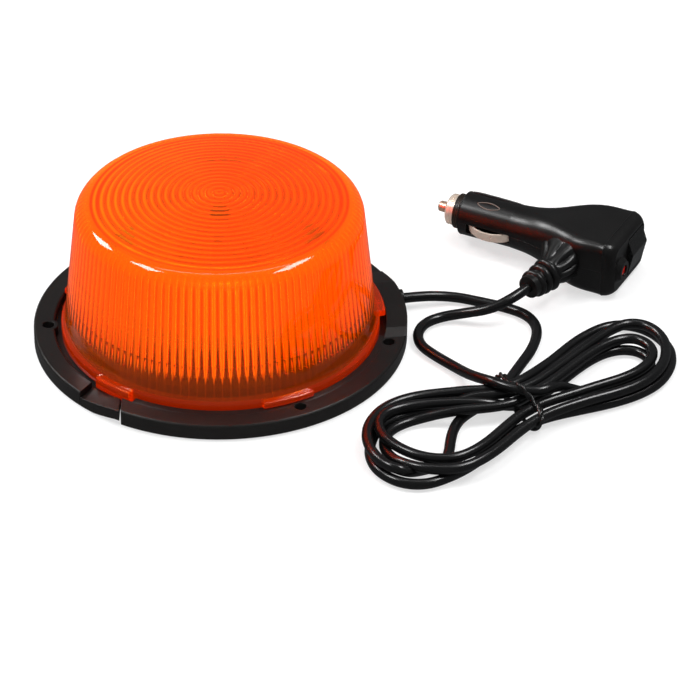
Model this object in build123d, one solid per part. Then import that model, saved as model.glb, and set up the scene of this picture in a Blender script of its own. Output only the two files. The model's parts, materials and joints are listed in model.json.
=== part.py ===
"""Amber LED warning beacon with a flanged magnetic base and a 12 V accessory plug on a tied cord.

Units are millimetres. The origin is the centre of the underside of the base, +Z points up.
Headings are angles about +Z counted from +X. The plug is drawn in its own frame: +X to the
nose, +Y to the side that the cord leaves, +Z up, with the origin in the rear cap's seam plane.
"""
from build123d import *
import math
import os

# ---------------------------------------------------------------- driving dimensions
# flanged base
flange_radius = 85.0
flange_underside = 0.6          # the rubber pad stands this far proud below
flange_top = 7.7
floor_top = 3.4
rim_inner_radius = 75.5         # inner edge of the raised rim, outside the lens skirt
apron_inner_radius = 72.9       # the rim reaches in to here along the front
apron_start, apron_end = -119.0, -9.0
edge_break = 0.7
hole_circle_radius = 78.3
hole_headings = (-176.0, -61.5, -12.2, 60.0, 122.0)
hole_radius = 2.75
hole_boss_radius = 4.4
running_gap = 0.35              # between pieces that move past each other

# release tongue, cut out of the rim
tongue_root_point = (-57.9, -55.0)
tongue_root_heading = 59.2      # direction of the root line, seen from above
tongue_end_x = -41.7            # the free end is a cut parallel to Y
tongue_slit = 0.7
tongue_root_top = 4.9
tongue_end_top = 7.2
tongue_end_underside = 2.3
tongue_reach = 20.5

# cable bridge on the rim and the gland through it
bridge_heading = 8.0
bridge_top = 9.6
bridge_ramps = (-23.5, -18.0, 19.5, 32.0)   # along the tangent: foot, top, top, foot
cord_heading = 16.0
cord_height = 5.2
cord_diameter = 4.8
grommet_radius = 3.8
grommet_flange_radius = 4.2

# lens
skirt_bottom = 5.2
skirt_radius = 72.4
wall_foot = (70.2, 18.0)        # radius, height
wall_head = (65.2, 63.4)
shoulder_end = (57.4, 71.4)
crown_height = 76.0
lens_wall = 2.4
tab_bottom, tab_top = 8.1, 10.9
tab_radius = 75.1
tab_centres = (-64.0, 13.0, 85.0, 155.0)
tab_span = 19.0
lock_tab_start, lock_tab_end = -136.0, -121.0
lug_span = 9.0

# inside the beacon
collar_outer, collar_inner = 66.0, 62.5
cover_height = 20.0
post_circle_radius = 54.0
post_headings = (62.0, 152.0, 242.0, 332.0)
board_height = 14.5
board_thickness = 1.6
carrier_sides = 10
carrier_flat = 42.0             # centre to flat
carrier_top = 56.0
pad_radius = 44.0
cup_radius = 35.0

# plug
plug_origin = (183.1, 50.0, 14.3)
plug_heading = 153.7
barrel_radius = 10.4
barrel_start = 52.0
barrel_face = 78.0
shell_wall = 2.2
# stations of the plug body: x, half width, half thickness, corner radius
body_stations = (
    (0.0, 19.7, 14.0, 4.6),
    (10.0, 19.8, 14.1, 5.6),
    (19.0, 18.8, 13.9, 7.2),
    (28.0, 15.5, 12.9, 8.8),
    (37.0, 12.5, 11.6, 10.2),
    (45.0, 11.0, 10.8, 10.4),
    (barrel_start, barrel_radius, barrel_radius, 10.3),
)
cap_stations = ((0.0, 19.7, 14.0, 4.6), (-3.2, 19.0, 13.3, 4.8), (-5.8, 16.8, 11.2, 4.4))
boot_base = (17.9, 14.2)        # x, y in the plug's frame
boot_end = (25.5, 44.3)
boot_end_height = -1.2          # the boot's end sits this far below the plug's axis
contact_roll = -13.0            # the ground contacts' turn about the plug's axis
contact_span = (52.0, 72.6)
contact_half_width = 2.4
rocker_centre_y = -6.4
rocker_half_width = 8.2
rocker_top, rocker_ridge, rocker_bottom = 9.2, 1.6, -8.6     # heights of the rocker's V section
rocker_pivot_x = -2.6
screw_places = ((31.0, 5.2), (12.0, -13.2))     # x, y of the two shell screws
button_centre = (11.0, -1.0)    # y, z
button_radius = 2.5

# cord: points of the two free stretches, each hand placed
floor_line = 2.6                # height of the cord's centre where it lies on the floor
base_leg_route = [
    (74.6, 21.4, cord_height),
    (90.0, 25.8, 5.2),
    (106.5, 29.4, 2.8),
    (120.0, 24.8, floor_line),
    (131.0, 20.6, floor_line),
    (140.6, 14.4, floor_line),
    (145.0, 3.4, floor_line),
    (142.2, -12.5, floor_line),
    (135.2, -28.0, floor_line),
    (128.8, -40.0, floor_line),
]
plug_leg_route = [
    (140.5, 21.5, 13.1),
    (134.3, 14.3, 12.6),
    (123.5, 9.6, 8.8),
    (110.5, 12.6, 4.4),
    (101.0, 12.4, floor_line),
    (93.2, 7.2, floor_line),
    (89.5, -1.4, floor_line),
    (90.6, -10.9, floor_line),
    (96.2, -18.6, floor_line),
    (107.5, -30.4, floor_line),
    (119.0, -43.2, 5.4),
    (129.0, -54.6, 11.6),
    (140.5, -60.6, 12.8),
]

# hank
hank_centre = (135.0, -60.5)
hank_heading = 23.6
hank_height = 10.0
tie_width, tie_height, tie_band = 47.0, 15.6, 1.4


# ---------------------------------------------------------------- small helpers
def disc(radius, low, high):
    """Round plate about the Z axis between two heights."""
    return Pos(0, 0, (low + high) / 2) * Cylinder(radius, high - low)


def ring(outer, inner, low, high):
    """Round tube about the Z axis between two heights."""
    return disc(outer, low, high) - disc(inner, low - 1, high + 1)


def sector(outer, inner, start, end, low, high):
    """Arc-shaped block about the Z axis, between two headings."""
    outside = CenterArc((0, 0), outer, start, end - start)
    inside = CenterArc((0, 0), inner, start, end - start)
    sides = [Line(outside @ 0, inside @ 0), Line(outside @ 1, inside @ 1)]
    return Pos(0, 0, low) * extrude(make_face([outside, inside] + sides), high - low)


def polar(radius, heading, height=0.0):
    """Point at a radius and heading."""
    angle = math.radians(heading)
    return (radius * math.cos(angle), radius * math.sin(angle), height)


def post(radius, low, high, at):
    """Upright cylinder at a place seen from above."""
    return Pos(at[0], at[1], (low + high) / 2) * Cylinder(radius, high - low)


def radial_frame(heading, radius=0.0, height=0.0):
    """Location whose X axis points outward along a heading."""
    return Location(polar(radius, heading, height), (0, 0, heading))


def along_x(radius, start, end, y=0.0, z=0.0):
    """Cylinder along X between two stations."""
    return Pos((start + end) / 2, y, z) * Rot(0, 90, 0) * Cylinder(radius, end - start)


def block(x, y, z):
    """Box given by its low and high ends on each axis."""
    centre = [(low + high) / 2 for low, high in (x, y, z)]
    size = [high - low for low, high in (x, y, z)]
    return Pos(*centre) * Box(*size)


# ---------------------------------------------------------------- base
def tongue_zone(outer, inner, low, high, end_clearance, root_clearance):
    """Part of the rim between the tongue's root line and its free end."""
    root = math.radians(tongue_root_heading)
    along = (math.cos(root), math.sin(root))
    across = (along[1], -along[0])
    start = [tongue_root_point[i] + root_clearance * across[i] for i in (0, 1)]
    near = (start[0] + 40 * along[0], start[1] + 40 * along[1])
    far = (start[0] - 30 * along[0], start[1] - 30 * along[1])
    end_x = tongue_end_x - end_clearance
    corners = [near, far, (far[0], -100), (end_x, -100), (end_x, near[1])]
    wedge = Pos(0, 0, low) * extrude(make_face(Polyline(*corners, close=True)), high - low)
    return wedge & sector(outer, inner, -150, -105, low, high)


def cable_bridge():
    """Raised stretch of the rim, with a ramp at each end, that the cord passes under."""
    foot, rise, fall, end = bridge_ramps
    low = flange_top - 1.0
    profile = Polyline((foot, flange_top), (rise, bridge_top), (fall, bridge_top), (end, flange_top),
                       (end, low), (foot, low), close=True)
    plane = Plane(origin=polar(60, bridge_heading), x_dir=polar(1, bridge_heading + 90), z_dir=polar(1, bridge_heading))
    hill = extrude(plane * make_face(profile), 40)
    return hill & ring(flange_radius, rim_inner_radius, low, bridge_top)


def base_housing():
    body = ring(flange_radius, rim_inner_radius, flange_underside, flange_top)
    body = chamfer(body.edges().filter_by(GeomType.CIRCLE).group_by(Axis.Z)[-1], edge_break)
    body += cable_bridge()
    body += disc(rim_inner_radius, flange_underside, floor_top)
    body += sector(rim_inner_radius + 0.5, apron_inner_radius, apron_start, apron_end, floor_top - 0.5, flange_top)
    for heading in hole_headings:
        body += post(hole_boss_radius, flange_underside, flange_top, polar(hole_circle_radius, heading))
    body += ring(collar_outer, collar_inner, floor_top - 0.5, cover_height)
    for centre in tab_centres:
        body += sector(68.8, collar_outer - 1, centre - lug_span / 2, centre + lug_span / 2, 9.0, 11.0)
    body += disc(cup_radius + 3, floor_top - 0.5, 12.4)
    for heading in post_headings:
        body += post(4.0, floor_top - 0.5, board_height, polar(post_circle_radius, heading))
    for heading in hole_headings:
        body -= post(hole_radius, -1, flange_top + 3, polar(hole_circle_radius, heading))
    body -= disc(pad_radius + 0.2, -1, 1.6)
    body -= disc(cup_radius + 0.1, 0, 9.7)
    body -= disc(2.1, 0, 11.6)
    for heading in post_headings:
        body -= post(1.2, 6.0, board_height + 1, polar(post_circle_radius, heading))
    body -= tongue_zone(flange_radius + 2, rim_inner_radius - 0.01, -1, flange_top + 3, 0.0, 0.0)
    tunnel = radial_frame(cord_heading)
    body -= tunnel * along_x(cord_diameter / 2 + 0.2, 71, 90, z=cord_height)
    body -= tunnel * along_x(grommet_radius + 0.05, 80.6, 90, z=cord_height)
    body -= tunnel * block((57.0, 79.0), (-2.2, 2.2), (0.0, 2.8))
    body -= tunnel * block((57.0, 60.5), (-2.2, 2.2), (2.0, 5.0))
    body -= tunnel * block((73.3, 79.0), (-2.2, 2.2), (2.0, cord_height))
    return body


def release_tongue():
    root = math.radians(tongue_root_heading)
    plane = Plane(
        origin=(tongue_root_point[0], tongue_root_point[1], 0),
        x_dir=(math.sin(root), -math.cos(root), 0),
        z_dir=(-math.cos(root), -math.sin(root), 0),
    )
    profile = Polyline((0, flange_underside), (8.5, flange_underside), (tongue_reach, tongue_end_underside),
                       (40, tongue_end_underside), (40, tongue_end_top), (tongue_reach, tongue_end_top),
                       (0, tongue_root_top), close=True)
    slab = extrude(plane * make_face(profile), 40, both=True)
    inner = rim_inner_radius + running_gap
    zone = tongue_zone(flange_radius, inner, flange_underside, flange_top, tongue_slit, running_gap)
    return slab & zone


def cord_grommet():
    sleeve = along_x(grommet_radius, 80.7, 85.1) + along_x(grommet_flange_radius, 85.1, 86.3)
    sleeve -= along_x(cord_diameter / 2 + 0.05, 80, 87)
    return radial_frame(cord_heading, height=cord_height) * sleeve


def power_leads():
    """The cord's two conductors, in a groove under the floor and up to the driver board."""
    leads = []
    for side in (-1, 1):
        route = [(74.4, side * 1.1, 4.4), (74.4, side * 1.1, 1.75), (58.7, side * 1.1, 1.75), (58.7, side * 1.1, 11.6)]
        path = FilletPolyline(*route, radius=1.2)
        profile = Plane(origin=path @ 0, z_dir=path % 0) * Circle(0.8)
        leads.append(radial_frame(cord_heading) * sweep(profile, path))
    return Compound(leads)


# ---------------------------------------------------------------- lens
def lens_profile():
    """Half section of the lens: skirt, flare, tapering wall, round shoulder and shallow crown."""
    outer = [
        Line((skirt_radius, skirt_bottom), (skirt_radius, 9.8)),
        Spline([(skirt_radius, 9.8), (71.0, 11.6), (70.3, 14.4)], tangents=[(0, 1), (0, 1)]),
        Line((70.3, 14.4), wall_foot),
        Line(wall_foot, wall_head),
        ThreePointArc(wall_head, (62.9, 68.8), shoulder_end),
        Spline([shoulder_end, (30.0, 74.7), (0, crown_height)], tangents=[(-1, 0.16), (-1, 0)]),
    ]
    inner = [
        Line((0, crown_height), (0, crown_height - lens_wall)),
        Spline([(0, crown_height - lens_wall), (30.0, 72.3), (57.0, 69.0)], tangents=[(1, 0), (1, -0.16)]),
        ThreePointArc((57.0, 69.0), (61.1, 67.1), (62.8, 63.2)),
        Line((62.8, 63.2), (67.7, 18.0)),
        Line((67.7, 18.0), (67.7, 15.0)),
        Line((67.7, 15.0), (69.4, 12.4)),
        Line((69.4, 12.4), (69.4, skirt_bottom)),
        Line((69.4, skirt_bottom), (skirt_radius, skirt_bottom)),
    ]
    return Plane.XZ * make_face(outer + inner)


def lens():
    body = revolve(lens_profile(), Axis.Z)
    for centre in tab_centres:
        body += sector(tab_radius, 71.0, centre - tab_span / 2, centre + tab_span / 2, tab_bottom, tab_top)
        body += sector(70.4, 66.5, centre - lug_span / 2, centre + lug_span / 2, 6.4, 8.4)
    body += sector(tab_radius, 71.0, lock_tab_start, lock_tab_end, skirt_bottom, tab_top)
    return body


def sealing_ring():
    return ring(72.0, 69.6, floor_top, skirt_bottom - 0.02)


# ---------------------------------------------------------------- inside the beacon
def bottom_pad():
    return disc(pad_radius, 0, 1.6)


def magnet_cup():
    cup = disc(cup_radius, 1.6, 9.6) - disc(32.6, 1.0, 8.0)
    return cup - disc(2.6, 0, 12)


def magnet():
    body = ring(32.4, 2.6, 1.7, 8.0)
    return body - Pos(0, 0, 2.75) * Cone(bottom_radius=5.3, top_radius=2.6, height=2.1)


def magnet_screw():
    """Countersunk screw up through the magnet and its cup."""
    head = Pos(0, 0, 2.75) * Cone(bottom_radius=5.1, top_radius=2.45, height=2.1)
    return head + disc(2.45, 3.7, 9.68) + disc(2.05, 9.6, 11.5)


def driver_board():
    plate = ring(60.0, 8.0, board_height, board_height + board_thickness)
    for heading in post_headings:
        plate -= post(1.7, board_height - 1, board_height + 3, polar(post_circle_radius, heading))
    lead_slot = radial_frame(cord_heading) * block((57.0, 61.0), (-2.2, 2.2), (board_height - 1, board_height + 3))
    return plate - lead_slot


def driver_components():
    """Capacitors, choke and switching parts hanging below the driver board, clear of the magnet boss."""
    low = board_height
    parts = [post(4.0, 5.0, low, polar(47.5, heading)) for heading in (20, 44, 190)]
    parts.append(post(5.5, 8.0, low, polar(48.0, 112)))
    parts += [radial_frame(h, 50.0) * block((-3, 3), (-4, 4), (low - 2.4, low)) for h in (82, 206, 222, 270, 290)]
    return Compound(parts)


def board_screws():
    """Four pan head screws that hold the driver board to the posts."""
    screws = []
    for heading in post_headings:
        at = polar(post_circle_radius, heading)
        head = post(2.8, board_height + board_thickness, board_height + board_thickness + 1.8, at)
        screws.append(head + post(1.15, 7.0, board_height + board_thickness + 0.5, at))
    return Compound(screws)


def inner_cover():
    """Black tray that hides the driver and carries the LED column."""
    plate = disc(65.8, cover_height, cover_height + 1.8)
    rim = ring(65.8, 63.6, cover_height + 1.0, 26.0)
    body = plate + rim + ring(46.6, 44.5, cover_height + 1.0, 24.5)
    for heading in range(0, 360, 30):
        body += radial_frame(heading, 55.0) * block((-5, 5), (-7, 7), (cover_height + 1.0, 24.0))
    return body - disc(20.0, cover_height - 1, cover_height + 3)


def led_carrier():
    """Aluminium column, one flat for each side board."""
    apothem = carrier_flat
    outer = Pos(0, 0, cover_height + 1.8) * extrude(
        RegularPolygon(apothem, carrier_sides, major_radius=False), carrier_top - cover_height - 1.8)
    inner = Pos(0, 0, cover_height) * extrude(
        RegularPolygon(apothem - 2.0, carrier_sides, major_radius=False), carrier_top - cover_height - 3.0)
    return outer - inner - disc(6.0, carrier_top - 4, carrier_top + 1)


def side_frames():
    """One frame per column flat, with X pointing outward."""
    heading_step = 360 / carrier_sides
    first = heading_step / 2
    return [radial_frame(first + heading_step * i, carrier_flat) for i in range(carrier_sides)]


def side_boards():
    return Compound([frame * block((0, 1.2), (-11, 11), (27, 54)) for frame in side_frames()])


def side_leds():
    leds = []
    for frame in side_frames():
        for height in (32.0, 40.5, 49.0):
            for offset in (-5.5, 5.5):
                leds.append(frame * block((1.2, 2.8), (offset - 2.5, offset + 2.5), (height - 2.5, height + 2.5)))
    return Compound(leds)


def top_board():
    return ring(38.0, 6.0, carrier_top, carrier_top + board_thickness)


def top_leds():
    low = carrier_top + board_thickness
    leds = []
    for radius, count in ((14.0, 6), (31.0, 12)):
        for i in range(count):
            leds.append(radial_frame(360 / count * i, radius) * block((-2.5, 2.5), (-2.5, 2.5), (low, low + 1.6)))
    return Compound(leds)


def top_board_screws():
    """Three screws that hold the top board to the column."""
    low = carrier_top + board_thickness
    return Compound([post(2.4, low, low + 1.6, polar(22.5, heading)) for heading in (30, 150, 270)])


# ---------------------------------------------------------------- plug
def plug_frame():
    return Location(plug_origin, (0, 0, plug_heading))


def body_loft(inset, stations):
    """Loft through the plug body's sections, shrunk by a wall thickness."""
    sections = []
    for x, half_width, half_thickness, corner in stations:
        plane = Plane(origin=(x, 0, 0), x_dir=(0, 1, 0), z_dir=(1, 0, 0))
        width = 2 * (half_width - inset)
        thickness = 2 * (half_thickness - inset)
        radius = min(max(corner - inset, 1.0), thickness / 2 - 0.2)
        sections.append(plane * RectangleRounded(width, thickness, radius))
    return loft(sections)


def boot_axis():
    """Start, end and direction of the cord boot."""
    start = Vector(boot_base[0], boot_base[1], 0)
    end = Vector(boot_end[0], boot_end[1], boot_end_height)
    return start, end, (end - start).normalized()


def boot_plane(distance=0.0):
    start, end, direction = boot_axis()
    return Plane(origin=start + direction * distance, z_dir=direction)


def plug_body():
    """Hollow plug body before it is cut into its two shells."""
    outer = body_loft(0.0, body_stations)
    hollow = body_loft(shell_wall, body_stations)
    barrel = along_x(barrel_radius, barrel_start, barrel_face) - along_x(barrel_radius - shell_wall, 50, 74.5)
    body = outer - hollow + (barrel - along_x(6.2, 70, 90))
    for roll in (contact_roll, contact_roll + 180):
        slot_half = contact_half_width + 0.4
        body -= Rot(roll, 0, 0) * block((51.0, 73.6), (5.0, 14.0), (-slot_half, slot_half))
    body -= boot_plane(-3) * Pos(0, 0, 6) * Cylinder(5.6, 14)
    for x, y in screw_places:
        body += Pos(x, y, -5.9) * Cylinder(2.6, 11.4)
        body -= Pos(x, y, -12.0) * Cylinder(2.2, 6.0)
        body -= Pos(x, y, -4.0) * Cylinder(1.1, 16.0)
    return body


def plug_shell(upper):
    half = block((-1, 90), (-30, 30), (0.0, 20)) if upper else block((-1, 90), (-30, 30), (-20, 0.0))
    return plug_body() & half


def plug_screws():
    """Two screws let into the lower shell."""
    screws = []
    for x, y in screw_places:
        screws.append(Pos(x, y, -10.0) * Cylinder(2.1, 1.9) + Pos(x, y, -5.0) * Cylinder(1.05, 9.0))
    return Compound(screws)


def plug_rear_cap():
    """Bevelled rear cap with an opening for the rocker and a low cone round the button."""
    sections = []
    for x, half_width, half_thickness, corner in cap_stations:
        plane = Plane(origin=(x, 0, 0), x_dir=(0, 1, 0), z_dir=(1, 0, 0))
        sections.append(plane * RectangleRounded(2 * half_width, 2 * half_thickness, corner))
    cap = loft(sections)
    cone = Pos(-6.4, *button_centre) * Rot(0, -90, 0) * Cone(bottom_radius=7.6, top_radius=4.6, height=3.6)
    y, half_y = rocker_centre_y, rocker_half_width
    cap += cone & block((-9, -3), (-2, 16.4), (-10.6, 10.6))
    cap -= block((-3.6, 1.0), (-15.5, 15.5), (-9.4, 9.4))
    cap -= block((-12, 1), (y - half_y - 0.4, y + half_y + 0.4), (rocker_bottom - 0.9, rocker_top + 0.9))
    cap -= along_x(button_radius + 0.3, -12, 1, y=button_centre[0], z=button_centre[1])
    return cap


def rocker_switch():
    """Rocker of V section that tips about a pin along the plug's Y axis."""
    top, ridge, bottom = rocker_top, rocker_ridge, rocker_bottom
    profile = Polyline((-0.9, bottom), (-0.9, top), (-5.6, top), (-8.4, ridge), (-6.2, bottom), close=True)
    plane = Plane(origin=(0, rocker_centre_y - rocker_half_width, 0), x_dir=(1, 0, 0), z_dir=(0, -1, 0))
    rocker = extrude(plane * make_face(profile), -2 * rocker_half_width)
    ridge_edge = rocker.edges().filter_by(Axis.Y).sort_by(Axis.X)[0]
    rocker = fillet(ridge_edge, 1.2)
    return rocker - Pos(rocker_pivot_x, rocker_centre_y, 0) * Rot(90, 0, 0) * Cylinder(1.05, 20)


def rocker_pin():
    return Pos(rocker_pivot_x, rocker_centre_y, 0) * Rot(90, 0, 0) * Cylinder(1.0, 2 * rocker_half_width + 0.8)


def mode_button():
    y, z = button_centre
    return along_x(button_radius, -7.3, -1.4, y, z) + along_x(3.6, -3.0, -1.4, y, z)


def switch_body():
    """Rocker switch body and push switch, together on the cap's inner side."""
    y = rocker_centre_y
    return block((0.4, 9.2), (y - 6.2, y + 6.2), (-6.2, 6.2))


def push_switch():
    y, z = button_centre
    return block((0.4, 5.0), (y - 3.0, y + 2.8), (z - 3.0, z + 3.0))


def plug_board():
    plate = block((9.4, 33.0), (-7.0, 7.0), (-3.4, -2.0))
    return plate - Pos(31.0, 5.2, -3) * Cylinder(3.0, 5)


def fuse():
    """Glass fuse with two metal end caps, drawn as one piece."""
    return along_x(2.6, 34.0, 60.0) + along_x(3.1, 34.0, 39.5) + along_x(3.1, 54.5, 60.0)


def pin_spring():
    """Coil spring behind the centre pin, drawn at its pressed length."""
    path = Helix(pitch=1.5, height=9.0, radius=2.6, center=(60.6, 0, 0), direction=(1, 0, 0))
    profile = Plane(origin=path @ 0, z_dir=path % 0) * Circle(0.35)
    return sweep(profile, path, is_frenet=True)


def contact_pin():
    """Sprung centre pin: round nose, shaft, and the collar that stops it behind the metal nose."""
    shaft = along_x(2.6, 72.5, 92.0)
    shaft = fillet(shaft.edges().sort_by(Axis.X)[-1], 1.3)
    return shaft + along_x(4.4, 72.5, 80.7)


def threaded_collar():
    """Ribbed black ring in front of the barrel, with a neck inside it."""
    body = along_x(8.4, 78.0, 81.8) + along_x(6.1, 73.0, 78.5)
    for x in (78.8, 79.8, 80.8):
        body -= along_x(9.0, x, x + 0.4) - along_x(8.0, x - 1, x + 2)
    body -= along_x(4.75, 70, 81.0)
    return body - along_x(3.0, 70, 90)


def nose_cap():
    """Plated metal ring that screws on to hold the fuse and pin in."""
    ring_body = along_x(7.4, 81.8, 86.2)
    ring_body = chamfer(ring_body.edges().filter_by(GeomType.CIRCLE).sort_by(Axis.X)[-1], 0.7)
    ring_body -= along_x(8.0, 83.4, 83.9) - along_x(7.1, 83, 84.5)
    return ring_body - along_x(2.9, 80, 90)


def ground_contact(roll):
    """Bowed plated strip on one side of the barrel."""
    start, end = contact_span
    middle = (start + end) / 2
    outer = ThreePointArc((start, 8.6), (middle, 12.3), (end, 8.6))
    inner = ThreePointArc((start, 7.9), (middle, 11.6), (end, 7.9))
    edges = [outer, inner, Line(outer @ 0, inner @ 0), Line(outer @ 1, inner @ 1)]
    strip = extrude(make_face(edges), contact_half_width, both=True)
    return Rot(roll, 0, 0) * strip


def cord_boot():
    """Rubber boot: a flared foot against the shells, two round ribs and a rolled end."""
    start, end, direction = boot_axis()
    length = (end - start).length
    outline = Polyline((0, 0), (5.3, 0), (5.3, 5.0), (8.6, 6.4), (7.4, 12.0), (6.2, 15.2), (6.9, 16.4), (6.9, 18.6),
                       (5.6, 19.6), (5.6, 21.0), (6.3, 22.0), (6.3, 24.4), (5.0, 25.4), (5.0, 26.6), (5.6, 27.4),
                       (5.6, length - 1.0), (4.8, length), (0, length), close=True)
    return boot_plane() * revolve(Plane.XZ * make_face(outline), Axis.Z)


# ---------------------------------------------------------------- cord
def corner_radii(route):
    """Largest arc that each corner of a route has room for."""
    points = [Vector(*point) for point in route]
    radii = []
    for before, corner, after in zip(points, points[1:], points[2:]):
        turn = (corner - before).get_angle(after - corner)
        run = min((corner - before).length, (after - corner).length)
        radii.append(0.45 * run / math.tan(math.radians(turn / 2)))
    return radii


def cord_tube(name, route):
    """Round tube along straight runs joined by tangent arcs."""
    radii = corner_radii(route)
    path = FilletPolyline(*route, radius=radii)
    profile = Plane(origin=path @ 0, z_dir=path % 0) * Circle(cord_diameter / 2)
    tube = sweep(profile, path)
    expected = math.pi * cord_diameter ** 2 / 4 * path.length
    print(name, "radii", [round(radius, 1) for radius in radii])
    print(name, "length", round(path.length, 1), "volume ratio", round(tube.volume / expected, 4))
    return tube


def hank_outline(grow):
    """Pinched oval seen from above: two lobes and a waist, leaning as the loose turns do."""
    points = []
    steps = 28
    for step in range(steps):
        turn = 2 * math.pi * step / steps
        along = (80.6 + grow) * math.cos(turn)
        lobe = math.sqrt(math.cos(turn) ** 2 + 0.02) - 0.14
        across = math.sin(turn) * (17.0 + grow + 31.5 * lobe) + 0.24 * along
        points.append((along + 1.5, across))
    return points


def hank_frame(height=0.0):
    return Location((hank_centre[0], hank_centre[1], height), (0, 0, hank_heading))


def cord_hank():
    """Outer shape of the tied turns."""
    face = make_face(Spline(hank_outline(2.4), periodic=True))
    return hank_frame(0.2) * extrude(face, hank_height - 0.2)


def hank_tie():
    """Thin twist tie round the waist, with its two twisted ends."""
    outer = RectangleRounded(tie_width, tie_height, 6.0)
    inner = RectangleRounded(tie_width - 2 * tie_band, tie_height - 2 * tie_band, 4.6)
    band = extrude(outer - inner, 1.1, both=True)
    return hank_frame(0.1 + tie_height / 2) * Pos(1.0, 0, 0) * Rot(0, 90, 0) * Rot(0, 0, 90) * band


# ---------------------------------------------------------------- write the nodes
def beacon_nodes():
    return {
        "base_housing": base_housing(),
        "release_tongue": release_tongue(),
        "bottom_pad": bottom_pad(),
        "magnet_cup": magnet_cup(),
        "magnet": magnet(),
        "magnet_screw": magnet_screw(),
        "cord_grommet": cord_grommet(),
        "power_leads": power_leads(),
        "sealing_ring": sealing_ring(),
        "driver_board": driver_board(),
        "driver_components": driver_components(),
        "board_screws": board_screws(),
        "inner_cover": inner_cover(),
        "led_carrier": led_carrier(),
        "side_boards": side_boards(),
        "side_leds": side_leds(),
        "top_board": top_board(),
        "top_leds": top_leds(),
        "top_board_screws": top_board_screws(),
        "lens": lens(),
    }


def plug_nodes():
    return {
        "plug_shell_upper": plug_shell(True),
        "plug_shell_lower": plug_shell(False),
        "plug_screws": plug_screws(),
        "plug_rear_cap": plug_rear_cap(),
        "rocker_switch": rocker_switch(),
        "rocker_pin": rocker_pin(),
        "mode_button": mode_button(),
        "switch_body": switch_body(),
        "push_switch": push_switch(),
        "plug_board": plug_board(),
        "fuse": fuse(),
        "pin_spring": pin_spring(),
        "contact_pin": contact_pin(),
        "threaded_collar": threaded_collar(),
        "nose_cap": nose_cap(),
        "ground_contact_front": ground_contact(contact_roll),
        "ground_contact_rear": ground_contact(contact_roll + 180),
        "cord_boot": cord_boot(),
    }


def cord_nodes():
    return {
        "cord_base_leg": cord_tube("base leg", base_leg_route),
        "cord_plug_leg": cord_tube("plug leg", plug_leg_route),
        "cord_hank": cord_hank(),
        "hank_tie": hank_tie(),
    }


os.makedirs("parts", exist_ok=True)
nodes = beacon_nodes()
nodes.update({name: plug_frame() * piece for name, piece in plug_nodes().items()})
nodes.update(cord_nodes())
for name, piece in nodes.items():
    export_step(piece, f"parts/{name}.step")
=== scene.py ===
"""Amber LED warning beacon with a 12 V accessory plug: the looks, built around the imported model.

Dimensions below are in millimetres and are scaled to metres as each mesh is made. Headings are
angles about +Z counted from +X. The plug's pieces are drawn in its own frame: +X to the nose,
+Y to the side the cord leaves, +Z up.
"""
import json
import math

import bpy
from mathutils import Matrix, Vector
from mathutils.bvhtree import BVHTree


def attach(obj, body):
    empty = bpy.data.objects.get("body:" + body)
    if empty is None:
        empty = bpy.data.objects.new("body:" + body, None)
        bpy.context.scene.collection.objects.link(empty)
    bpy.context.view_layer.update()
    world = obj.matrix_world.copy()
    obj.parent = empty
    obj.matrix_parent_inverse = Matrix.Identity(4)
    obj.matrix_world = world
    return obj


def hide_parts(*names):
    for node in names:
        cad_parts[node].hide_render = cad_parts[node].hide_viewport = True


MM = 0.001

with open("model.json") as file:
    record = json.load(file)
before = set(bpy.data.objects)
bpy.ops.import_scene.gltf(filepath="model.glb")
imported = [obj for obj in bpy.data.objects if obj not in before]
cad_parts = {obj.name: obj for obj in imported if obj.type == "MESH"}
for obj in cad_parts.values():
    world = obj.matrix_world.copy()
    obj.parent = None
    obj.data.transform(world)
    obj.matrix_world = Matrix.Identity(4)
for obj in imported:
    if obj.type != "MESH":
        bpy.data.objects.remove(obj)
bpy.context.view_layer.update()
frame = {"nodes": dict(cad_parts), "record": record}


# ---------------------------------------------------------------- camera
camera_position = (0.0590, -1.5229, 1.0076)
camera_pitch = 56.3            # degrees up from looking straight down
camera_roll = 0.6
camera_lens = 205.7

camera_data = bpy.data.cameras.new("camera")
camera_data.lens = camera_lens
camera_data.sensor_width = 36.0
camera_data.clip_end = 20.0
camera = bpy.data.objects.new("camera", camera_data)
turn = Matrix.Rotation(math.radians(camera_pitch), 4, "X")
turn = turn @ Matrix.Rotation(math.radians(camera_roll), 4, "Z")
camera.matrix_world = Matrix.Translation(camera_position) @ turn
bpy.context.collection.objects.link(camera)
bpy.context.scene.camera = camera


# ---------------------------------------------------------------- small helpers
def mesh_object(name, vertices, faces, place=None, smooth=True, sharp_angle=35.0):
    """Mesh from millimetre vertices, put in place by a millimetre matrix."""
    place = place or Matrix.Identity(4)
    mesh = bpy.data.meshes.new(name)
    mesh.from_pydata([(place @ Vector(v)) * MM for v in vertices], [], faces)
    mesh.validate()
    if smooth:
        mesh.shade_smooth()
        mesh.set_sharp_from_angle(angle=math.radians(sharp_angle))
    obj = bpy.data.objects.new(name, mesh)
    bpy.context.collection.objects.link(obj)
    return obj


def ring_faces(rows, columns, closed_rows=False):
    """Quads of a grid whose columns wrap round; the rows wrap too if asked."""
    faces = []
    last = rows if closed_rows else rows - 1
    for row in range(last):
        above = (row + 1) % rows
        for column in range(columns):
            beside = (column + 1) % columns
            faces.append((row * columns + column, row * columns + beside,
                          above * columns + beside, above * columns + column))
    return faces


def smoothstep(value):
    value = min(1.0, max(0.0, value))
    return value * value * (3.0 - 2.0 * value)


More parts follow.
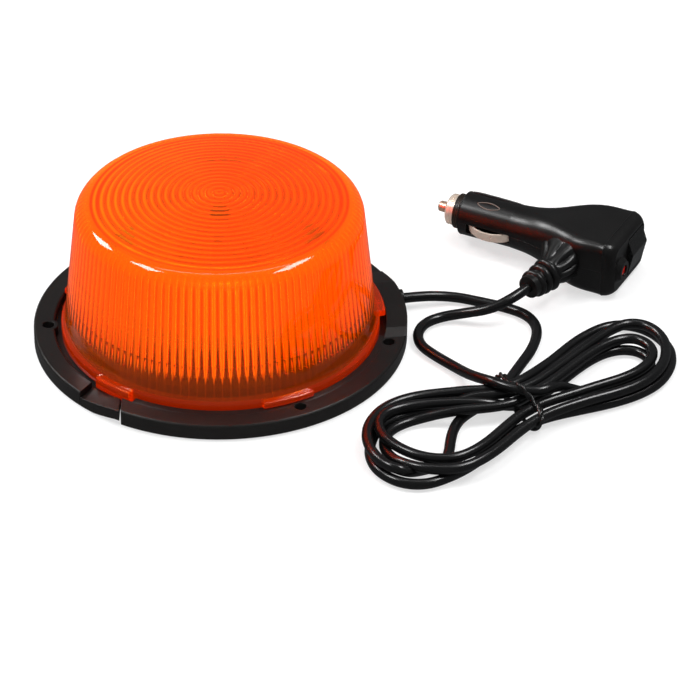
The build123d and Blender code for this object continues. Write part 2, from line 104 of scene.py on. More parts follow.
def nurbs(name, runs, radius, cyclic=False, resolution=8, bevel_resolution=5):
    """Round wire along smooth NURBS splines; each run is a list of control points in metres."""
    curve = bpy.data.curves.new(name, "CURVE")
    curve.dimensions = "3D"
    curve.bevel_depth = radius
    curve.bevel_resolution = bevel_resolution
    curve.resolution_u = resolution
    curve.use_fill_caps = True
    for points in runs:
        spline = curve.splines.new("NURBS")
        spline.points.add(len(points) - 1)
        for spot, point in zip(spline.points, points):
            spot.co = (*point, 1.0)
        spline.order_u = 3
        spline.use_endpoint_u = not cyclic
        spline.use_cyclic_u = cyclic
    obj = bpy.data.objects.new(name, curve)
    bpy.context.collection.objects.link(obj)
    return obj


# ---------------------------------------------------------------- materials
def surface(name, color, roughness, metallic=0.0, mottle=0.12, mottle_scale=60.0, grain=0.0,
            grain_scale=1400.0, rough_spread=0.06, edge=0.0, **sockets):
    """Procedural finish: colour mottling, uneven roughness, fine grain and softened edges (edge in mm)."""
    material = bpy.data.materials.new(name)
    material.use_nodes = True
    nodes, links = material.node_tree.nodes, material.node_tree.links
    shader = nodes["Principled BSDF"]
    shader.inputs["Metallic"].default_value = metallic
    for socket, value in sockets.items():
        shader.inputs[socket.replace("_", " ")].default_value = value
    coords = nodes.new("ShaderNodeTexCoord")
    noise = nodes.new("ShaderNodeTexNoise")
    noise.inputs["Scale"].default_value = mottle_scale
    noise.inputs["Detail"].default_value = 5.0
    links.new(coords.outputs["Object"], noise.inputs["Vector"])
    ramp = nodes.new("ShaderNodeValToRGB")
    ramp.color_ramp.elements[0].position = 0.3
    ramp.color_ramp.elements[1].position = 0.7
    ramp.color_ramp.elements[0].color = (*[c * (1 - mottle) for c in color], 1.0)
    ramp.color_ramp.elements[1].color = (*[min(1.0, c * (1 + mottle)) for c in color], 1.0)
    links.new(noise.outputs["Fac"], ramp.inputs["Fac"])
    links.new(ramp.outputs["Color"], shader.inputs["Base Color"])
    spread = nodes.new("ShaderNodeMapRange")
    spread.inputs["To Min"].default_value = max(0.0, roughness - rough_spread)
    spread.inputs["To Max"].default_value = roughness + rough_spread
    links.new(noise.outputs["Fac"], spread.inputs["Value"])
    links.new(spread.outputs["Result"], shader.inputs["Roughness"])
    if edge:
        rounded = nodes.new("ShaderNodeBevel")
        rounded.samples = 6
        rounded.inputs["Radius"].default_value = edge * MM
        links.new(rounded.outputs["Normal"], shader.inputs["Normal"])
    if grain:
        fine = nodes.new("ShaderNodeTexNoise")
        fine.inputs["Scale"].default_value = grain_scale
        fine.inputs["Detail"].default_value = 3.0
        links.new(coords.outputs["Object"], fine.inputs["Vector"])
        bump = nodes.new("ShaderNodeBump")
        bump.inputs["Strength"].default_value = grain
        bump.inputs["Distance"].default_value = 0.0002
        links.new(fine.outputs["Fac"], bump.inputs["Height"])
        if edge:
            links.new(rounded.outputs["Normal"], bump.inputs["Normal"])
        links.new(bump.outputs["Normal"], shader.inputs["Normal"])
    return material


materials = {
    "base_plastic": surface("base_plastic", (0.009, 0.0078, 0.0072), 0.36, grain=0.12, edge=0.6,
                            Specular_IOR_Level=0.4),
    "plug_plastic": surface("plug_plastic", (0.004, 0.0038, 0.0037), 0.3, grain=0.06, edge=0.5,
                            Specular_IOR_Level=0.45),
    "rocker_plastic": surface("rocker_plastic", (0.006, 0.006, 0.006), 0.24, edge=0.5,
                              Specular_IOR_Level=0.45),
    "cover_plastic": surface("cover_plastic", (0.012, 0.009, 0.008), 0.5, grain=0.1),
    "collar_plastic": surface("collar_plastic", (0.02, 0.014, 0.01), 0.3, grain=0.05),
    "pad_rubber": surface("pad_rubber", (0.016, 0.016, 0.016), 0.7, grain=0.3),
    "soft_black": surface("soft_black", (0.005, 0.005, 0.005), 0.3, grain=0.06, Specular_IOR_Level=0.45),
    "cord_pvc": surface("cord_pvc", (0.004, 0.004, 0.0042), 0.24, grain=0.05, Specular_IOR_Level=0.5),
    "lead_pvc": surface("lead_pvc", (0.4, 0.02, 0.015), 0.4),
    "tie_plastic": surface("tie_plastic", (0.006, 0.006, 0.006), 0.22),
    "plated_steel": surface("plated_steel", (0.62, 0.61, 0.58), 0.3, metallic=1.0, grain=0.1),
    "ferrite": surface("ferrite", (0.04, 0.04, 0.042), 0.6, grain=0.3),
    "board": surface("board", (0.72, 0.7, 0.62), 0.4, grain=0.05),
    "components": surface("components", (0.05, 0.05, 0.05), 0.45, grain=0.1),
    "led_phosphor": surface("led_phosphor", (0.9, 0.68, 0.14), 0.3),
    "column_aluminium": surface("column_aluminium", (0.8, 0.8, 0.78), 0.35, metallic=1.0, grain=0.2),
    "red_button": surface("red_button", (0.42, 0.012, 0.008), 0.22),
    "fuse_glass": surface("fuse_glass", (0.75, 0.77, 0.75), 0.1),
    "pin_brass": surface("pin_brass", (0.86, 0.6, 0.44), 0.24, metallic=0.8, mottle=0.08),
    "nickel": surface("nickel", (0.88, 0.74, 0.62), 0.28, metallic=0.6, mottle=0.06),
}


def amber(name, color, transmission, roughness):
    """Clear coloured polycarbonate."""
    material = surface(name, color, roughness, mottle=0.04, mottle_scale=25.0, rough_spread=0.01)
    shader = material.node_tree.nodes["Principled BSDF"]
    shader.inputs["Transmission Weight"].default_value = transmission
    shader.inputs["IOR"].default_value = 1.46
    shader.inputs["Specular IOR Level"].default_value = 0.2
    return material


flutes = 118                   # ribs round the lens's inner wall
ring_pitch = 3.2               # pitch of the crown's rings


def paint_rib_glow(material, glow):
    """Painted light on the lens's ribs and rings: emission paints them glowing, with painted shade in the gaps
    between ribs at the wall's foot, darker bands along the crown's rings and darker lines between the ribs on
    the wall.
    """
    nodes, links = material.node_tree.nodes, material.node_tree.links

    def value(operation, first, second=0.0):
        node = nodes.new("ShaderNodeMath")
        node.operation = operation
        for socket, source in zip(node.inputs, (first, second)):
            if isinstance(source, float):
                socket.default_value = source
            else:
                links.new(source, socket)
        return node.outputs[0]

    def ranged(source, from_min, from_max, to_min, to_max):
        node = nodes.new("ShaderNodeMapRange")
        node.inputs["From Min"].default_value = from_min
        node.inputs["From Max"].default_value = from_max
        node.inputs["To Min"].default_value = to_min
        node.inputs["To Max"].default_value = to_max
        links.new(source, node.inputs["Value"])
        return node.outputs["Result"]

    coords = nodes.new("ShaderNodeTexCoord")
    split = nodes.new("ShaderNodeSeparateXYZ")
    links.new(coords.outputs["Object"], split.inputs["Vector"])
    x, y, z = split.outputs
    rib_phase = value("SUBTRACT", value("MULTIPLY", value("ARCTAN2", y, x), float(flutes)), 2 * math.pi / 3)
    rib = value("COSINE", rib_phase)
    # painted shade: at the wall's foot only the ribs glow, and the gaps between them stay dark
    threshold = ranged(z, 0.0190, 0.0370, 0.95, -1.3)
    foot = ranged(value("SUBTRACT", rib, threshold), 0.0, 0.35, 0.0, 1.0)
    radius = value("SQRT", value("ADD", value("MULTIPLY", x, x), value("MULTIPLY", y, y)))
    ring = value("COSINE", value("MULTIPLY", radius, 2 * math.pi / (ring_pitch * MM)))
    on_crown = ranged(radius, 0.0575, 0.0585, 1.0, 0.0)
    on_wall = ranged(z, 0.0640, 0.0670, 1.0, 0.0)
    # painted shade: darker bands along the crown's rings and darker lines between the wall's ribs
    painted_ring_shade = value("MULTIPLY", on_crown, ranged(ring, -1.0, 1.0, 0.35, 1.15))
    painted_rib_shade = value("MULTIPLY", on_wall, ranged(rib, -1.0, 1.0, 0.6, 0.0))
    painted_glow = value("MAXIMUM", value("SUBTRACT", value("SUBTRACT", foot, painted_ring_shade), painted_rib_shade), 0.0)

    shader = material.node_tree.nodes["Principled BSDF"]
    # painted light: the emission makes the lens glow
    links.new(value("MULTIPLY", painted_glow, glow), shader.inputs["Emission Strength"])

    # painted light: the crown's rings glow yellower on the left side, as if lit from the left
    crown_ring = value("MULTIPLY", on_crown, ranged(ring, 0.4, -0.8, 0.0, 1.0))
    painted_left_glow = value("MULTIPLY", ranged(x, -0.045, 0.005, 1.0, 0.0), crown_ring)
    hue = nodes.new("ShaderNodeMix")
    hue.data_type = "RGBA"
    links.new(painted_left_glow, hue.inputs["Factor"])
    hue.inputs["A"].default_value = (1.0, 0.12, 0.0, 1.0)
    hue.inputs["B"].default_value = (1.0, 0.36, 0.0, 1.0)
    links.new(hue.outputs["Result"], shader.inputs["Emission Color"])


materials["amber_lens"] = amber("amber_lens", (1.0, 0.16, 0.002), 0.85, 0.03)
# painted glow on the lens's ribs and rings, strength 0.5
paint_rib_glow(materials["amber_lens"], 0.5)
skirt_amber = amber("skirt_amber", (1.0, 0.16, 0.004), 0.93, 0.04)
# painted glow: a faint red emission on the skirt
skirt_amber.node_tree.nodes["Principled BSDF"].inputs["Emission Color"].default_value = (1.0, 0.05, 0.0, 1.0)
skirt_amber.node_tree.nodes["Principled BSDF"].inputs["Emission Strength"].default_value = 0.1
# painted highlight: light brown colour for the rim round the barrel's recess
painted_rim_highlight = surface("painted_rim_highlight", (0.16, 0.12, 0.1), 0.35)


def dress(node, material):
    """Gives a CAD node a procedural finish."""
    obj = frame["nodes"][node]
    if not obj.material_slots:
        obj.data.materials.append(material)
    for slot in obj.material_slots:
        slot.material = material


def finish_piece(obj, slot, body, nodes=(), material=None):
    """Material (the record slot's one unless another is given), body, and hides the CAD nodes that a new piece
    stands for.
    """
    obj.data.materials.append(material or materials[slot])
    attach(obj, body)
    if nodes:
        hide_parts(*nodes)
    return obj


for part in frame["record"]["subparts"]:
    dress(part["node"], materials[part["material_slot"]])


# ---------------------------------------------------------------- the cord
cord_diameter = 4.8
floor_line = 2.6
base_leg_route = [
    (74.6, 21.4, 5.2), (90.0, 25.8, 5.2), (106.5, 29.4, 2.8), (120.0, 24.8, floor_line),
    (131.0, 20.6, floor_line), (140.6, 14.4, floor_line), (145.0, 3.4, floor_line),
    (142.2, -12.5, floor_line), (135.2, -28.0, floor_line),
]
plug_leg_route = [
    (140.5, 21.5, 13.1), (134.3, 14.3, 12.6), (123.5, 9.6, 8.8), (110.5, 12.6, 4.4),
    (101.0, 12.4, floor_line), (93.2, 7.2, floor_line), (89.5, -1.4, floor_line),
    (90.6, -10.9, floor_line), (96.2, -18.6, floor_line), (107.5, -30.4, 2.8),
]
hank_centre = Vector((135.0, -60.5, 0.0))
hank_heading = 23.6


def hank_point(along, across, height):
    """Point of the hank's own frame, in which X runs lengthwise, as a point of the row frame."""
    turned = Matrix.Rotation(math.radians(hank_heading), 3, "Z") @ Vector((along, across, 0.0))
    return tuple(hank_centre + turned + Vector((0.0, 0.0, height)))


hank_entry = [
    (2.5, 19.5, 2.6), (-6.0, 13.3, 2.6), (-14.0, 8.8, 2.6), (-22.0, 5.5, 2.6), (-29.5, 1.5, 2.6),
    (-35.0, -4.5, 2.6), (-39.5, -11.5, 2.6), (-43.5, -19.0, 2.6), (-48.5, -25.5, 2.6),
]
# the turns, each clockwise from the left lobe over the top to the right lobe and back underneath
first_turn = [
    (-55.5, -27.0, 2.6), (-62.0, -27.2, 2.8), (-67.6, -29.2, 5.0), (-72.5, -28.0, 7.4), (-76.0, -22.5, 7.4),
    (-77.3, -15.0, 7.4), (-76.8, -7.5, 7.4), (-74.5, 0.5, 7.4), (-70.3, 7.5, 7.4), (-63.8, 13.8, 7.4),
    (-55.5, 18.0, 7.4), (-46.5, 19.5, 7.4), (-37.5, 18.8, 7.4), (-28.0, 16.7, 7.4), (-20.0, 15.0, 7.4),
    (-12.0, 12.2, 7.4), (-4.0, 10.5, 7.4), (4.0, 12.0, 7.4), (12.0, 15.8, 6.8), (20.0, 21.0, 5.4),
    (28.0, 27.0, 3.4), (36.0, 32.5, 2.6), (45.0, 37.8, 2.6), (54.0, 41.6, 2.6), (63.0, 44.0, 2.6),
    (71.5, 42.8, 2.6), (78.0, 37.5, 2.6), (81.8, 29.5, 2.6), (82.8, 20.0, 2.6), (81.0, 11.5, 2.6),
    (76.0, 3.0, 2.6), (69.0, -3.8, 2.6), (60.5, -8.8, 2.6), (50.0, -11.6, 2.6), (38.0, -12.4, 2.6),
    (25.0, -11.8, 2.6), (12.0, -11.2, 2.6), (2.0, -12.0, 2.6), (-8.0, -15.0, 2.6), (-18.0, -20.5, 2.6),
    (-28.0, -26.5, 2.6), (-37.5, -31.5, 2.6), (-45.0, -34.5, 2.6),
]
second_turn = [
    (-53.0, -36.5, 2.6), (-60.5, -37.4, 2.6), (-67.5, -35.6, 2.6), (-73.5, -30.6, 2.6), (-77.2, -23.0, 2.6),
    (-78.0, -15.0, 2.6), (-76.4, -7.5, 2.6), (-73.0, -0.5, 2.6), (-69.0, 5.0, 2.6), (-64.0, 9.8, 2.6),
    (-58.0, 12.8, 2.6), (-50.0, 14.2, 2.6), (-41.0, 13.8, 2.6), (-33.0, 13.0, 2.8), (-26.0, 11.8, 4.8),
    (-19.0, 10.0, 7.2), (-11.0, 7.2, 7.8), (-3.0, 5.6, 7.8), (5.0, 7.0, 7.6), (13.0, 9.8, 7.4),
    (20.0, 13.3, 7.4), (30.0, 18.4, 7.4), (41.5, 24.6, 7.4), (52.0, 30.0, 7.4), (62.0, 34.8, 7.4),
    (71.0, 36.5, 7.4), (77.5, 32.5, 7.4), (80.2, 25.0, 7.4), (79.8, 17.0, 7.4), (77.0, 9.5, 7.4),
    (72.0, 1.8, 7.4), (64.5, -5.0, 7.4), (55.0, -9.8, 7.4), (43.0, -12.0, 7.4), (30.0, -12.3, 7.4),
    (17.0, -13.5, 7.4), (6.0, -15.3, 7.4), (-4.0, -18.6, 7.4), (-14.0, -24.0, 7.4), (-24.0, -30.2, 7.4),
    (-34.0, -35.2, 7.4), (-43.5, -38.0, 7.4),
]
third_turn = [
    (-53.0, -37.0, 7.4), (-61.0, -32.6, 7.4), (-66.6, -25.6, 6.4), (-69.4, -17.8, 4.8), (-69.4, -10.0, 3.4),
    (-67.8, -3.4, 2.6), (-64.8, 2.4, 2.6), (-59.5, 6.6, 2.6), (-52.0, 8.8, 2.6), (-44.0, 8.6, 3.2),
    (-36.5, 5.5, 5.6), (-29.0, 2.2, 7.4), (-20.0, 0.0, 7.4), (-11.0, -1.8, 7.4), (-3.0, -2.0, 7.6),
    (5.0, 1.2, 7.6), (12.0, 4.0, 7.4), (20.0, 7.7, 7.4), (31.0, 13.8, 7.4), (42.0, 19.8, 7.4),
    (52.0, 24.0, 7.4), (61.0, 26.0, 7.4), (68.0, 24.4, 7.4), (71.6, 18.5, 7.4), (71.4, 11.3, 7.4),
    (66.8, 4.8, 7.4), (59.0, -0.2, 7.4), (49.0, -3.0, 7.4), (36.0, -4.0, 7.4), (22.0, -5.5, 7.4),
    (10.0, -6.6, 7.4), (1.0, -8.8, 7.4), (-8.0, -12.6, 7.4), (-18.0, -18.8, 7.4), (-28.0, -25.0, 7.4),
    (-37.5, -29.2, 7.4), (-46.5, -30.4, 7.4),
]
fourth_turn = [
    (-54.5, -27.5, 7.4), (-61.0, -21.5, 7.4), (-65.5, -13.5, 7.4), (-67.8, -5.5, 7.4), (-67.6, 2.0, 7.4),
    (-65.0, 8.8, 7.4), (-59.0, 13.2, 7.4), (-51.0, 14.2, 7.4), (-42.0, 12.8, 7.4), (-33.0, 10.2, 7.4),
    (-24.0, 6.9, 7.4), (-16.0, 4.0, 6.8), (-8.0, 1.8, 4.6), (0.0, 1.0, 2.8), (8.0, 3.2, 2.6),
    (16.0, 6.8, 2.6), (26.0, 12.0, 2.6), (36.0, 17.8, 2.6), (46.0, 22.6, 2.6), (55.0, 25.0, 2.6),
    (63.0, 24.2, 2.6), (69.0, 19.5, 2.6), (70.6, 11.8, 2.6), (66.5, 5.0, 2.6), (59.0, -0.2, 2.6),
    (49.0, -2.6, 2.6), (38.0, -3.0, 2.6), (31.0, -0.8, 3.2),
]
hank_exit = [
    (25.0, 0.6, 5.6), (19.0, -0.5, 9.6), (13.0, -3.8, 12.2), (7.0, -4.6, 12.5), (0.5, -1.8, 12.6),
    (-5.0, 3.5, 12.6), (-9.0, 10.5, 12.2), (-11.6, 18.5, 9.8), (-12.6, 28.3, 6.0),
]

route = list(base_leg_route)
route += [hank_point(*point) for point in hank_entry]
for turn in (first_turn, second_turn, third_turn, fourth_turn, hank_exit):
    route += [hank_point(*point) for point in turn]
route += list(reversed(plug_leg_route))
cord = nurbs("power_cord", [[tuple(c * MM for c in point) for point in route]], cord_diameter * MM / 2)
finish_piece(cord, "cord_pvc", "base", ("cord_base_leg", "cord_plug_leg", "cord_hank"))

# wire tie: the loop's stations in the hank's frame, over the bundle and back under it
tie_loop = [
    (-1.6, 15.5, 10.4), (-1.6, 8.0, 11.0), (-1.6, 3.5, 13.2), (-1.6, -1.2, 15.8), (0.0, -5.0, 13.4),
    (2.1, -8.5, 10.8), (2.4, -13.0, 10.6), (1.3, -17.6, 10.3), (0.0, -20.2, 7.4), (-1.0, -18.0, 3.6), (-1.4, -14.5, 1.2),
    (-1.5, -7.0, 0.9), (-1.5, 4.0, 0.9), (-1.5, 14.0, 0.9), (-1.7, 20.0, 1.2), (-1.9, 21.4, 4.2),
    (-1.8, 19.2, 8.0),
]
tie_wire_radius = 0.8
tie_twists = 8


def loop_point(stations, share):
    """Point of a smooth closed curve through stations, share running from 0 to 1."""
    place = share * len(stations)
    index = int(place)
    local = place - index
    a, b, c, d = [Vector(stations[(index + step) % len(stations)]) for step in (-1, 0, 1, 2)]
    return 0.5 * (2 * b + (c - a) * local + (2 * a - 5 * b + 4 * c - d) * local**2
                  + (3 * b - a - 3 * c + d) * local**3)


def twisted_wire(phase, steps=96):
    """One of the tie's two wires, which wind round each other along the loop."""
    points = []
    for step in range(steps):
        share = step / steps
        spot = loop_point(tie_loop, share)
        run = (loop_point(tie_loop, (share + 0.004) % 1.0) - spot).normalized()
        lengthwise = Vector((1.0, 0.0, 0.0))
        outward = run.cross(lengthwise).normalized()
        turned = 2 * math.pi * tie_twists * share + phase
        spot += 0.85 * tie_wire_radius * (lengthwise * math.cos(turned) + outward * math.sin(turned))
        points.append(tuple(c * MM for c in hank_point(*spot)))
    return points


tie = nurbs("wire_tie", [twisted_wire(0.0), twisted_wire(math.pi)], tie_wire_radius * MM, cyclic=True,
            resolution=3, bevel_resolution=3)
finish_piece(tie, "tie_plastic", "base", ("hank_tie",))


# ---------------------------------------------------------------- the plug
plug_origin = Vector((183.1, 50.0, 14.3))
plug_heading = 153.7
plug_place = Matrix.Translation(plug_origin) @ Matrix.Rotation(math.radians(plug_heading), 4, "Z")
boot_start = Vector((17.9, 14.2, 0.0))
boot_end = Vector((25.5, 44.3, -1.2))
neck_distance = 15.6           # along the boot, where the pleated foot meets the rolled rings
neck_radius = 6.0
ring_core_radius = 5.4
barrel_radius = 10.4


def rolled_rings(distance, angle):
    """Radius of the boot's three rolled rings, each a little askew."""
    radius = ring_core_radius
    for centre, height, half in ((17.6, 2.5, 1.9), (22.4, 1.9, 1.7), (26.8, 1.3, 1.5)):
        away = (distance - centre - 0.5 * math.sin(angle + centre)) / half
        if abs(away) < 1.0:
            radius += height * math.sqrt(1.0 - away * away)
    return radius


def boot_mesh(foot_rings=30, rings=60, around=132):
    """Gusset whose pleated foot lies on the plug's body, then the rolled rings out to the cord."""
    surfaces = []
    for node in ("plug_shell_upper", "plug_shell_lower"):
        shell = frame["nodes"][node]
        corners = [shell.matrix_world @ vertex.co for vertex in shell.data.vertices]
        surfaces.append(BVHTree.FromPolygons(corners, [tuple(face.vertices) for face in shell.data.polygons]))
    axis = boot_end - boot_start
    length = axis.length
    axis.normalize()
    side = axis.cross(Vector((0.0, 0.0, 1.0))).normalized()
    rise = side.cross(axis)
    away_from_plug = plug_place.inverted()
    spokes = []
    feet = []
    for step in range(around):
        angle = 2 * math.pi * step / around
        spoke = side * math.cos(angle) + rise * math.sin(angle)
        reach = 11.8 + 3.8 * math.cos(angle) + 0.8 * math.sin(angle)
        target = (plug_place @ (boot_start + axis * 6.5 + spoke * reach)) * MM
        hits = [surface_tree.find_nearest(target) for surface_tree in surfaces]
        foot = min(hits, key=lambda hit: hit[3])[0]
        spokes.append(spoke)
        feet.append(away_from_plug @ (foot / MM) - axis * 0.3)
    vertices = []
    for ring in range(foot_rings):
        share = ring / foot_rings
        for step in range(around):
            angle = 2 * math.pi * step / around
            neck = boot_start + axis * neck_distance + spokes[step] * neck_radius
            bend = boot_start + axis * 9.0 + spokes[step] * 7.6
            spot = feet[step] * (1 - share) ** 2 + bend * 2 * share * (1 - share) + neck * share**2
            pleat = abs(math.sin(4.5 * angle + 0.5 * math.sin(2 * angle))) ** 0.7 - 0.6
            spot += spokes[step] * (1.9 * pleat * math.sin(math.pi * min(1.0, 0.05 + share)) ** 0.8)
            vertices.append(spot)
    for ring in range(rings):
        distance = neck_distance + (length - neck_distance) * ring / (rings - 1)
        for step in range(around):
            angle = 2 * math.pi * step / around
            vertices.append(boot_start + axis * distance + spokes[step] * rolled_rings(distance, angle))
    faces = ring_faces(foot_rings + rings, around)
    faces.append(tuple(range(around))[::-1])
    faces.append(tuple((foot_rings + rings - 1) * around + step for step in range(around)))
    return vertices, faces


boot = mesh_object("pleated_boot", *boot_mesh(), place=plug_place, sharp_angle=60.0)
finish_piece(boot, "soft_black", "base", ("cord_boot",))


def on_barrel(x, roll, lift):
    """Point on the barrel at a roll angle from the cord's side towards the top."""
    angle = math.radians(roll)
    reach = barrel_radius + lift
    return tuple(c * MM for c in plug_place @ Vector((x, reach * math.cos(angle), reach * math.sin(angle))))


def eye_outline(points=24):
    """Pointed oval round the recess on the barrel."""
    outline = []
    for step in range(points):
        turn_angle = 2 * math.pi * step / points
        across = math.sin(turn_angle) * (1.0 - 0.35 * math.cos(turn_angle) ** 2)
        outline.append(on_barrel(64.6 + 5.6 * math.cos(turn_angle), 66.0 + 10.0 * across, 0.02))
    return outline


eye = nurbs("eye_rim", [eye_outline()], 0.24 * MM, cyclic=True, resolution=3, bevel_resolution=2)
# the rim's light brown is a painted highlight
finish_piece(eye, "collar_plastic", "base", material=painted_rim_highlight)
rib_rolls = (108.0, 113.0, 118.0, 123.0, 128.0)
rib_stations = ((51.0, -0.2), (53.0, 0.05), (64.0, 0.25), (75.0, 0.25), (76.4, -0.1))   # x, lift
rib_runs = [[on_barrel(x, roll, lift) for x, lift in rib_stations] for roll in rib_rolls]
ribs = nurbs("grip_ribs", rib_runs, 0.35 * MM, resolution=3, bevel_resolution=2)
finish_piece(ribs, "plug_plastic", "base")
seam_line = []
for y_side, z_side in ((1, 1), (-1, 1), (-1, -1), (1, -1)):
    corner = [(19.7, 8.6), (19.5, 11.35), (17.45, 13.45), (14.2, 13.98)]
    for y_value, z_value in corner if y_side * z_side > 0 else corner[::-1]:
        spot = plug_place @ Vector((-0.1, y_side * y_value, z_side * z_value))
        seam_line.append(tuple(c * MM for c in spot))
seam = nurbs("cap_seam", [seam_line], 0.3 * MM, cyclic=True, resolution=6, bevel_resolution=2)
finish_piece(seam, "soft_black", "base")
lip_run = [on_barrel(77.8, 15.0 * step, -0.15) for step in range(24)]
lip = nurbs("barrel_lip", [lip_run], 0.35 * MM, cyclic=True, resolution=3, bevel_resolution=2)
finish_piece(lip, "plug_plastic", "base")


# ---------------------------------------------------------------- the lens
flute_steps = 6
columns = flutes * flute_steps
tab_centres = (-64.0, 13.0, 85.0, 155.0)
tab_span = 19.0
lock_tab = (-136.0, -121.0)


def arc_points(first, middle, last, count):
    """Points of the circle arc through three points of a half section."""
    ax, ay, bx, by, cx, cy = *first, *middle, *last
    d = 2 * (ax * (by - cy) + bx * (cy - ay) + cx * (ay - by))
    ux = ((ax**2 + ay**2) * (by - cy) + (bx**2 + by**2) * (cy - ay) + (cx**2 + cy**2) * (ay - by)) / d
    uy = ((ax**2 + ay**2) * (cx - bx) + (bx**2 + by**2) * (ax - cx) + (cx**2 + cy**2) * (bx - ax)) / d
    start = math.atan2(ay - uy, ax - ux)
    end = math.atan2(cy - uy, cx - ux)
    radius = math.hypot(ax - ux, ay - uy)
    turns = [start + (end - start) * i / count for i in range(count + 1)]
    return [(ux + radius * math.cos(t), uy + radius * math.sin(t)) for t in turns]


def crown(radius, top):
    return top - 4.6 * (radius / 57.4) ** 2


# outer rows: the plain section, the section at a tab, and the section at the lock tab
skirt_rows = [
    ((72.0, 5.2), (72.0, 5.2), (74.7, 5.2)),
    ((72.4, 5.6), (72.4, 5.6), (75.1, 5.6)),
    ((72.4, 8.0), (72.4, 8.05), (75.1, 7.6)),
    ((72.4, 8.1), (74.7, 8.1), (75.1, 8.0)),
    ((72.4, 8.5), (75.1, 8.5), (75.1, 8.6)),
    ((72.4, 9.8), (75.1, 10.5), (75.1, 10.5)),
    ((71.9, 10.7), (74.7, 10.9), (74.7, 10.9)),
    ((71.2, 11.3), (71.6, 11.0), (71.6, 11.0)),
    ((70.7, 12.4),) * 3,
    ((70.35, 14.4),) * 3,
    ((70.2, 18.0),) * 3,
]


def tab_kind(heading):
    """0 on the plain skirt, 1 on a tab and 2 on the lock tab."""
    for centre in tab_centres:
        away = (heading - centre + 180.0) % 360.0 - 180.0
        if abs(away) < tab_span / 2:
            return 1
    if lock_tab[0] < (heading + 180.0) % 360.0 - 180.0 < lock_tab[1]:
        return 2
    return 0


def flute_depth(column, height):
    """Rib on the lens's inner wall, with a round top end and a square foot."""
    place = column % flute_steps
    across = (0.0, 0.72, 1.0, 0.72, 0.0, 0.0)[place]
    reach = (66.4, 67.4, 68.0, 67.4, 66.4, 66.4)[place]
    return 1.3 * across * smoothstep((reach - height) / 0.9 + 0.5) * smoothstep((height - 19.2) / 0.4)


def inner_rows():
    """Inner half section from the crown's middle out and down, as (r, z, kind)."""
    rings = 17
    pitch = ring_pitch
    section = []
    for step in range(1, rings * 4 + 1):
        radius = step * pitch / 4
        bead = (0.0, 0.8, 1.0, 0.8)[step % 4]
        section.append((radius, crown(radius, 73.4) - 0.75 * bead, "crown"))
    for r, z in arc_points((57.0, 69.0), (61.1, 67.1), (62.8, 63.2), 10):
        section.append((r, z, "wall"))
    for height in (60.0, 50.0, 40.0, 30.0, 22.0, 19.8, 19.2, 18.8):
        share = (63.2 - height) / (63.2 - 18.0)
        section.append((62.8 + 4.9 * share, height, "wall"))
    section += [(67.7, 15.0, "foot"), (69.4, 12.4, "foot"), (69.4, 5.2, "foot")]
    return section


def lens_mesh():
    vertices = []
    rows = 0
    for plain, tab, lock in skirt_rows:
        for column in range(columns):
            angle = 2 * math.pi * column / columns
            r, z = (plain, tab, lock)[tab_kind(math.degrees(angle))]
            vertices.append((r * math.cos(angle), r * math.sin(angle), z))
        rows += 1
    outer = [(70.2 - 5.0 * i / 6, 18.0 + 45.4 * i / 6) for i in range(1, 6)]
    outer += arc_points((65.2, 63.4), (62.9, 68.8), (57.4, 71.4), 8)
    outer += [(57.4 * (1 - i / 12), crown(57.4 * (1 - i / 12), 76.0)) for i in range(1, 12)]
    for r, z in outer:
        for column in range(columns):
            angle = 2 * math.pi * column / columns
            vertices.append((r * math.cos(angle), r * math.sin(angle), z))
        rows += 1
    outer_rows = rows
    section = inner_rows()
    for index, (r, z, kind) in enumerate(section):
        before = section[max(0, index - 1)]
        after = section[min(len(section) - 1, index + 1)]
        run = Vector((after[0] - before[0], after[1] - before[1])).normalized()
        inward = Vector((run.y, -run.x))
        for column in range(columns):
            angle = 2 * math.pi * column / columns
            depth = flute_depth(column, z) if kind == "wall" else 0.0
            place = r + inward.x * depth
            vertices.append((place * math.cos(angle), place * math.sin(angle), z + inward.y * depth))
        rows += 1
    faces = ring_faces(outer_rows, columns)
    shift = outer_rows * columns
    faces += [tuple(i + shift for i in face) for face in ring_faces(rows - outer_rows, columns)]
    foot = (rows - 1) * columns
    faces += [(foot + c, foot + (c + 1) % columns, (c + 1) % columns, c) for c in range(columns)]
    top, under = len(vertices), len(vertices) + 1
    vertices += [(0.0, 0.0, 76.0), (0.0, 0.0, 73.4)]
    last = (outer_rows - 1) * columns
    faces += [(last + c, last + (c + 1) % columns, top) for c in range(columns)]
    faces += [(shift + (c + 1) % columns, shift + c, under) for c in range(columns)]
    return vertices, faces


lens = mesh_object("lens_detailed", *lens_mesh(), sharp_angle=50.0)
finish_piece(lens, "amber_lens", "lens_body", ("lens",))
lens.data.materials.append(skirt_amber)
skirt_top = 11.4
for face in lens.data.polygons:
    if face.center.z < skirt_top * MM:
        face.material_index = 1


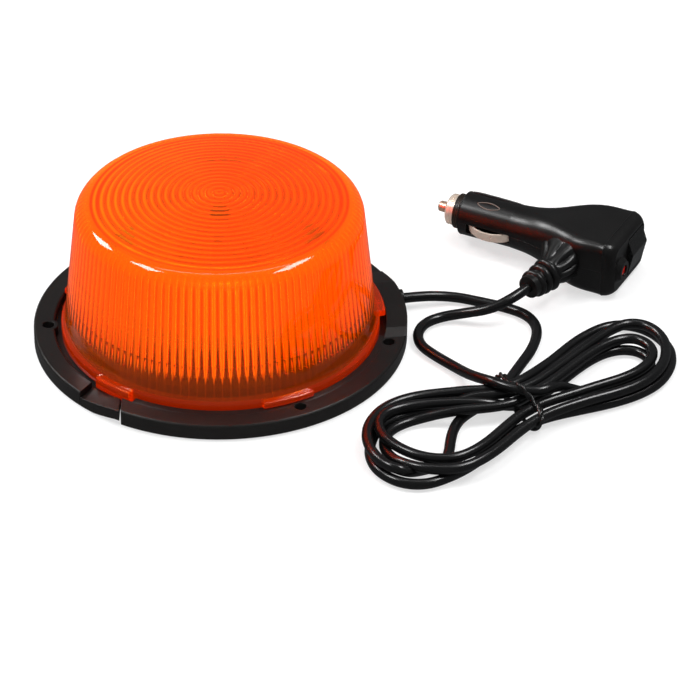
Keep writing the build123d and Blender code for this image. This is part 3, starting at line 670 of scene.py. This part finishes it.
# ---------------------------------------------------------------- floor and light
floor_material = surface("floor", (0.4, 0.4, 0.4), 0.9, mottle=0.005)
floor_shader = floor_material.node_tree.nodes["Principled BSDF"]
floor_shader.inputs["Emission Color"].default_value = (1.0, 1.0, 1.0, 1.0)
floor_shader.inputs["Emission Strength"].default_value = 0.62
floor_half, floor_drop = 4000, -0.2
floor_corners = [(x * floor_half, y * floor_half, floor_drop) for x, y in ((-1, -1), (1, -1), (1, 1), (-1, 1))]
floor = mesh_object("floor", floor_corners, [(0, 1, 2, 3)], smooth=False)
floor.data.materials.append(floor_material)
floor.visible_glossy = False


def softbox(name, place, target, size, power, mirrored=True):
    """Rectangular light; one that isn't mirrored lights things without showing in glossy surfaces."""
    data = bpy.data.lights.new(name, "AREA")
    data.shape = "RECTANGLE"
    data.size, data.size_y = size
    data.energy = power
    light = bpy.data.objects.new(name, data)
    light.location = place
    light.rotation_euler = (Vector(target) - Vector(place)).to_track_quat("-Z", "Y").to_euler()
    light.visible_glossy = mirrored
    bpy.context.collection.objects.link(light)


softbox("overhead", (0.1, 0.35, 1.8), (0.05, 0.0, 0.0), (1.9, 1.3), 18.0, mirrored=False)
softbox("front_fill", (0.0, -1.6, 0.9), (0.0, 0.0, 0.03), (1.4, 0.8), 8.0, mirrored=False)
softbox("strip", (0.0, 0.3, 1.5), (0.05, 0.0, 0.0), (1.2, 0.12), 2.0)
softbox("left_box", (-0.88, 0.58, 0.9), (0.0, 0.0, 0.05), (0.36, 0.3), 7.0)
softbox("left_front_box", (-0.7, -0.07, 1.14), (0.0, 0.0, 0.05), (0.38, 0.26), 6.5)
softbox("right_box", (0.74, 0.04, 1.29), (0.05, 0.0, 0.05), (0.7, 0.26), 10.0)

world = bpy.data.worlds.new("studio")
world.use_nodes = True
world.node_tree.nodes["Background"].inputs["Color"].default_value = (0.95, 0.97, 1.0, 1.0)
world.node_tree.nodes["Background"].inputs["Strength"].default_value = 0.12
bpy.context.scene.world = world
bpy.context.scene.view_settings.view_transform = "Standard"
